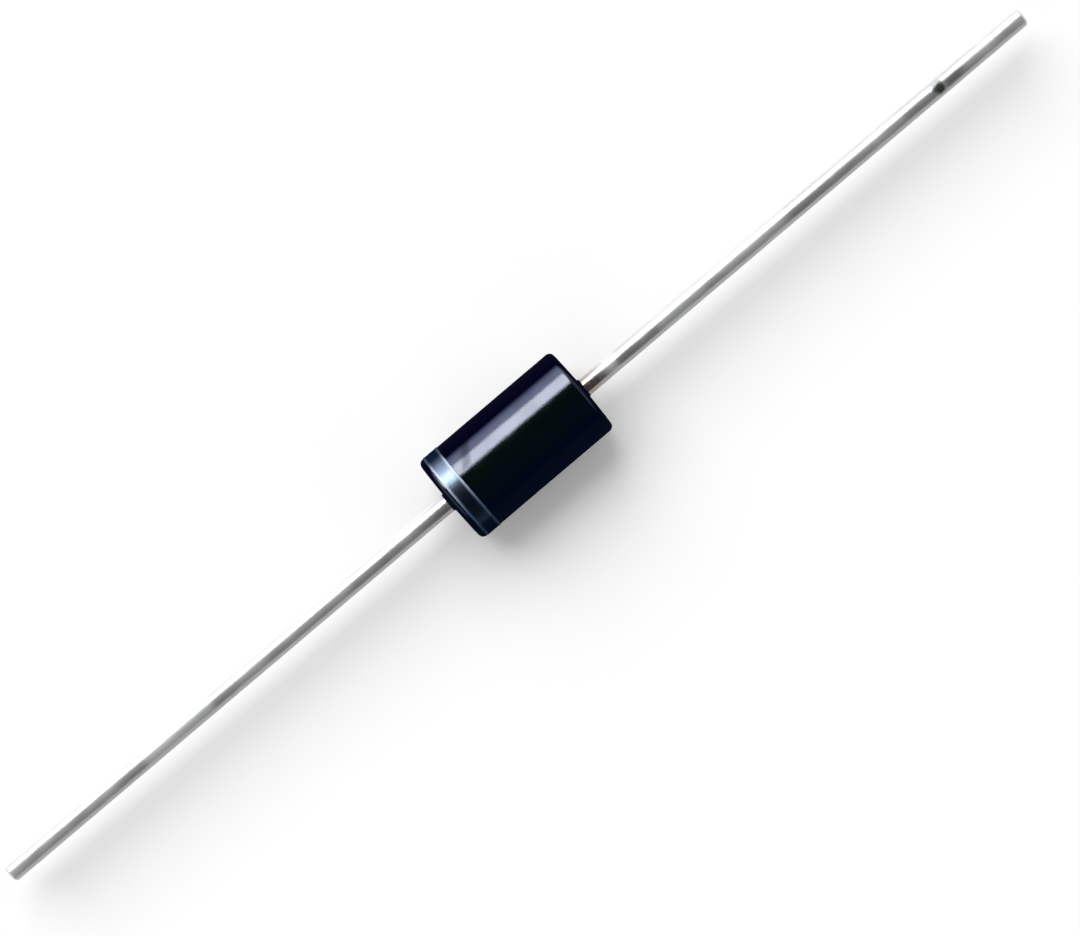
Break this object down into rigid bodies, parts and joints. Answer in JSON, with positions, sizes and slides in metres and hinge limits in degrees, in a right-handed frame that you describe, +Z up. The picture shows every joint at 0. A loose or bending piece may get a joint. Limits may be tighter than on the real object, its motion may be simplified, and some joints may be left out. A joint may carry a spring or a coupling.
{
  "type": "transient voltage suppressor diode",
  "caption": "Axial-lead diode: a black moulded cylinder with a silver cathode band and straight tinned leads, soldered across a circuit to clamp voltage surges.",
  "frame": {"origin": "middle of the moulding, on the axis of the leads", "axes": "+X along the leads towards the anode, with the cathode band at the -X end; +Z up, away from the board"},
  "size_m": [0.0678, 0.0052, 0.0052],
  "materials": {
    "case_epoxy": "black moulding epoxy, satin gloss",
    "band_ink": "silver ink",
    "lead_tin": "drawn copper wire with a dull tin finish",
    "chip_silicon": "etched silicon",
    "joint_solder": "solder",
    "coating_silicone": "cured silicone rubber"
  },
  "bodies": {
    "root": {"moulded_case": "case_epoxy", "cathode_band": "band_ink", "cathode_lead": "lead_tin", "anode_lead": "lead_tin", "silicon_chip": "chip_silicon", "cathode_solder": "joint_solder", "anode_solder": "joint_solder", "junction_coating": "coating_silicone"}
  },
  "joints": []
}
